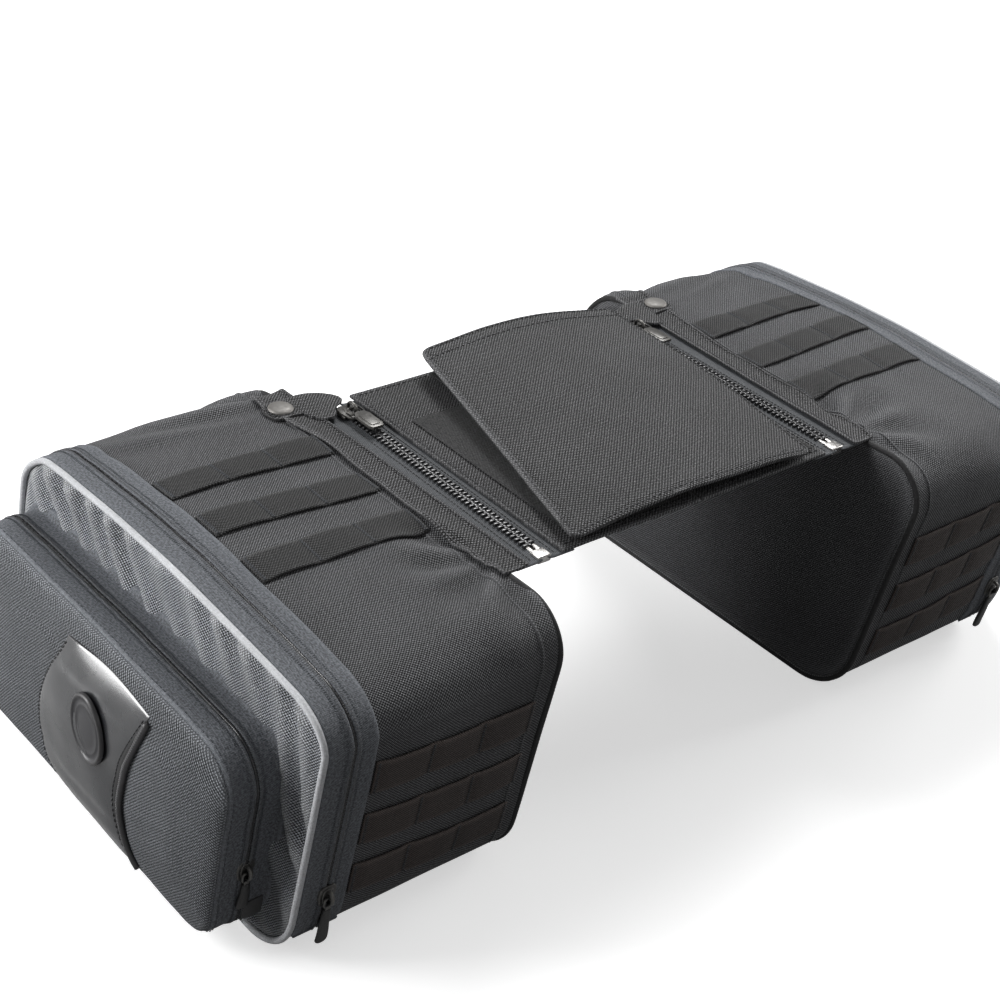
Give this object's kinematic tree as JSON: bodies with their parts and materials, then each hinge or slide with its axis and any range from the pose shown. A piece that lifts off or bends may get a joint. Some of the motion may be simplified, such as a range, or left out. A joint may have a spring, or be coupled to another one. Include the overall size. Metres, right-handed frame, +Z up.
{
  "type": "motorcycle saddle bags",
  "caption": "Pair of soft slanted throw-over saddle bags with zipped lids, outer pockets and webbing, joined by a yoke that lies over the seat.",
  "frame": {"origin": "on the ground under the middle of the pair, at the middle of the lengths", "axes": "+X towards the rider's right, +Y towards the front of the motorcycle, +Z up"},
  "size_m": [0.7396, 0.364, 0.2288],
  "materials": {
    "body_cloth": "charcoal ballistic nylon, plain weave",
    "back_cloth": "charcoal nylon, plain back panel",
    "stiffener": "black polyethylene board",
    "zip_band_cloth": "slate blue-grey heathered zip tape",
    "piping_cloth": "light grey reflective piping",
    "webbing_cloth": "dark woven webbing",
    "front_webbing_cloth": "brown-black woven webbing",
    "patch_leather": "glossy black leather, fine grain",
    "badge_face": "moulded black badge with no marks",
    "yoke_cloth": "charcoal ballistic nylon, padded",
    "hook_cloth": "black hook tape",
    "loop_cloth": "black loop pile",
    "zip_tape_and_teeth": "black moulded teeth on grey tape",
    "slider_metal": "black painted zinc",
    "pull_metal": "black painted zinc",
    "pull_leather": "black leatherette on a metal tab",
    "stud_metal": "gunmetal press stud cap"
  },
  "bodies": {
    "yoke": {"top_flap": "yoke_cloth", "hook_strips": "hook_cloth", "right_wing": "yoke_cloth", "right_loop_field": "loop_cloth", "right_yoke_zip_half": "zip_tape_and_teeth", "right_bag_zip_half": "zip_tape_and_teeth", "right_placket": "yoke_cloth"},
    "left_yoke": {"left_wing": "yoke_cloth", "left_loop_field": "loop_cloth", "left_yoke_zip_half": "zip_tape_and_teeth", "left_bag_zip_half": "zip_tape_and_teeth", "left_placket": "yoke_cloth"},
    "right_bag": {"right_gusset": "body_cloth", "right_back_panel": "back_cloth", "right_bottom_board": "stiffener", "right_body_zip_band": "zip_band_cloth", "right_placket_hem": "yoke_cloth", "right_top_webbing": "webbing_cloth", "right_front_webbing": "front_webbing_cloth"},
    "right_lid": {"right_lid_shell": "body_cloth", "right_lid_zip_band": "zip_band_cloth", "right_lid_piping": "piping_cloth", "right_pocket_rim": "zip_band_cloth", "right_pocket_zip_end": "zip_band_cloth"},
    "right_pocket": {"right_pocket_front": "body_cloth", "right_leather_patch": "patch_leather", "right_badge": "badge_face"},
    "right_strap": {"right_lock_strap": "webbing_cloth", "right_press_stud": "stud_metal"},
    "right_zip_slider": {"right_zip_slider": "slider_metal"},
    "right_zip_pull": {"right_zip_pull": "pull_metal"},
    "right_lid_slider": {"right_lid_slider": "slider_metal"},
    "right_lid_pull": {"right_lid_pull": "pull_leather"},
    "right_pocket_slider": {"right_pocket_slider": "slider_metal"},
    "right_pocket_pull": {"right_pocket_pull": "pull_leather"},
    "left_bag": {"left_gusset": "body_cloth", "left_back_panel": "back_cloth", "left_bottom_board": "stiffener", "left_body_zip_band": "zip_band_cloth", "left_placket_hem": "yoke_cloth", "left_top_webbing": "webbing_cloth", "left_front_webbing": "front_webbing_cloth"},
    "left_lid": {"left_lid_shell": "body_cloth", "left_lid_zip_band": "zip_band_cloth", "left_lid_piping": "piping_cloth", "left_pocket_rim": "zip_band_cloth", "left_pocket_zip_end": "zip_band_cloth"},
    "left_pocket": {"left_pocket_front": "body_cloth", "left_leather_patch": "patch_leather", "left_badge": "badge_face"},
    "left_strap": {"left_lock_strap": "webbing_cloth", "left_press_stud": "stud_metal"},
    "left_zip_slider": {"left_zip_slider": "slider_metal"},
    "left_zip_pull": {"left_zip_pull": "pull_metal"},
    "left_lid_slider": {"left_lid_slider": "slider_metal"},
    "left_lid_pull": {"left_lid_pull": "pull_leather"},
    "left_pocket_slider": {"left_pocket_slider": "slider_metal"},
    "left_pocket_pull": {"left_pocket_pull": "pull_leather"}
  },
  "joints": [
    {"name": "yoke_width", "type": "slide", "parent": "yoke", "child": "left_yoke", "axis": [-1, 0, 0], "range_m": [0, 0.05]},
    {"name": "right_bag_swing", "type": "hinge", "parent": "yoke", "child": "right_bag", "pos_m": [0.156, 0, 0.2064], "axis": [0, -1, 0], "range_deg": [-10, 90]},
    {"name": "right_lid_open", "type": "hinge", "parent": "right_bag", "child": "right_lid", "pos_m": [0.3018, 0, 0], "axis": [0, 1, 0], "range_deg": [0, 95]},
    {"name": "right_pocket_open", "type": "hinge", "parent": "right_lid", "child": "right_pocket", "pos_m": [0.3364, 0, 0.012], "axis": [0, 1, 0], "range_deg": [0, 80]},
    {"name": "right_strap_lift", "type": "hinge", "parent": "right_bag", "child": "right_strap", "pos_m": [0.18, -0.094, 0.2056], "axis": [0, 1, 0], "range_deg": [0, 125]},
    {"name": "right_zip_slide", "type": "slide", "parent": "yoke", "child": "right_zip_slider", "axis": [0, 1, 0], "range_m": [0, 0.17]},
    {"name": "right_zip_pull_lift", "type": "hinge", "parent": "right_zip_slider", "child": "right_zip_pull", "pos_m": [0.129, -0.069, 0.2106], "axis": [1, 0, 0], "range_deg": [0, 110]},
    {"name": "right_lid_zip_slide", "type": "slide", "parent": "right_bag", "child": "right_lid_slider", "axis": [0, 0.1652, 0.9863], "range_m": [0, 0.1]},
    {"name": "right_lid_pull_swing", "type": "hinge", "parent": "right_lid_slider", "child": "right_lid_pull", "pos_m": [0.3018, 0.1681, 0.05504], "axis": [1, 0, 0], "range_deg": [0, 150]},
    {"name": "right_pocket_zip_slide", "type": "slide", "parent": "right_lid", "child": "right_pocket_slider", "axis": [0, 0.1652, 0.9863], "range_m": [0, 0.05]},
    {"name": "right_pocket_pull_swing", "type": "hinge", "parent": "right_pocket_slider", "child": "right_pocket_pull", "pos_m": [0.3364, 0.13663, 0.06729], "axis": [1, 0, 0], "range_deg": [0, 150]},
    {"name": "left_bag_swing", "type": "hinge", "parent": "left_yoke", "child": "left_bag", "pos_m": [-0.156, 0, 0.2064], "axis": [0, 1, 0], "range_deg": [-10, 90]},
    {"name": "left_lid_open", "type": "hinge", "parent": "left_bag", "child": "left_lid", "pos_m": [-0.3018, 0, 0], "axis": [0, -1, 0], "range_deg": [0, 95]},
    {"name": "left_pocket_open", "type": "hinge", "parent": "left_lid", "child": "left_pocket", "pos_m": [-0.3364, 0, 0.012], "axis": [0, -1, 0], "range_deg": [0, 80]},
    {"name": "left_strap_lift", "type": "hinge", "parent": "left_bag", "child": "left_strap", "pos_m": [-0.18, -0.094, 0.2056], "axis": [0, -1, 0], "range_deg": [0, 125]},
    {"name": "left_zip_slide", "type": "slide", "parent": "left_yoke", "child": "left_zip_slider", "axis": [0, 1, 0], "range_m": [0, 0.17]},
    {"name": "left_zip_pull_lift", "type": "hinge", "parent": "left_zip_slider", "child": "left_zip_pull", "pos_m": [-0.129, -0.069, 0.2106], "axis": [1, 0, 0], "range_deg": [0, 110]},
    {"name": "left_lid_zip_slide", "type": "slide", "parent": "left_bag", "child": "left_lid_slider", "axis": [0, 0.1652, 0.9863], "range_m": [0, 0.1]},
    {"name": "left_lid_pull_swing", "type": "hinge", "parent": "left_lid_slider", "child": "left_lid_pull", "pos_m": [-0.3018, 0.1681, 0.05504], "axis": [1, 0, 0], "range_deg": [0, 150]},
    {"name": "left_pocket_zip_slide", "type": "slide", "parent": "left_lid", "child": "left_pocket_slider", "axis": [0, 0.1652, 0.9863], "range_m": [0, 0.05]},
    {"name": "left_pocket_pull_swing", "type": "hinge", "parent": "left_pocket_slider", "child": "left_pocket_pull", "pos_m": [-0.3364, 0.13663, 0.06729], "axis": [1, 0, 0], "range_deg": [0, 150]}
  ]
}
